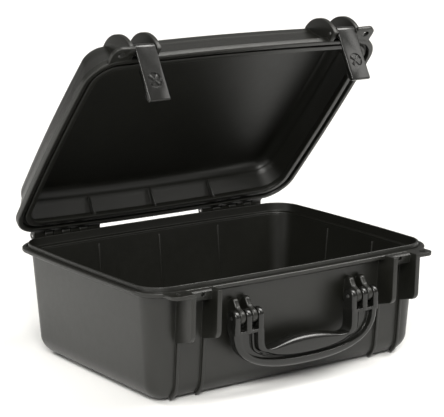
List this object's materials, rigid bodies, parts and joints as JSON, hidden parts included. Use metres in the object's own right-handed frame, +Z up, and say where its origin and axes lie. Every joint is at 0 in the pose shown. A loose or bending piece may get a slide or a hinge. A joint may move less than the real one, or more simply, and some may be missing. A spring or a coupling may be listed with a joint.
{
  "type": "hard equipment case",
  "caption": "Moulded hard equipment case with a hinged lid, front latches, padlock lugs and a folding carry handle.",
  "frame": {"origin": "middle of the flat underside of the tub", "axes": "+Z up, -Y towards the front with the handle and latches, +X along the hinge"},
  "size_m": [0.3768, 0.312, 0.3609],
  "materials": {
    "shell_plastic": "fine moulded texture, black",
    "fitting_plastic": "satin, black",
    "seal_rubber": "matt, black",
    "pin_steel": "plain"
  },
  "bodies": {
    "base": {"base_shell": "shell_plastic", "hinge_pin_left": "pin_steel", "hinge_pin_right": "pin_steel", "handle_pin_left": "pin_steel", "handle_pin_right": "pin_steel"},
    "lid": {"lid_shell": "shell_plastic", "lid_gasket": "seal_rubber", "latch_pin_left": "pin_steel", "latch_pin_right": "pin_steel"},
    "handle": {"carry_handle": "fitting_plastic"},
    "left_latch": {"latch_left": "fitting_plastic"},
    "right_latch": {"latch_right": "fitting_plastic"}
  },
  "joints": [
    {"name": "lid_hinge", "type": "hinge", "parent": "base", "child": "lid", "pos_m": [0, 0.146, 0.123], "axis": [1, 0, 0], "range_deg": [-61, 49.3]},
    {"name": "handle_hinge", "type": "hinge", "parent": "base", "child": "handle", "pos_m": [0, -0.1436, 0.0845], "axis": [-1, 0, 0], "range_deg": [0, 100]},
    {"name": "left_latch_hinge", "type": "hinge", "parent": "lid", "child": "left_latch", "pos_m": [-0.12895, -0.04143, 0.34628], "axis": [-1, 0, 0], "range_deg": [0, 130]},
    {"name": "right_latch_hinge", "type": "hinge", "parent": "lid", "child": "right_latch", "pos_m": [0.12895, -0.04143, 0.34628], "axis": [-1, 0, 0], "range_deg": [0, 130]}
  ]
}
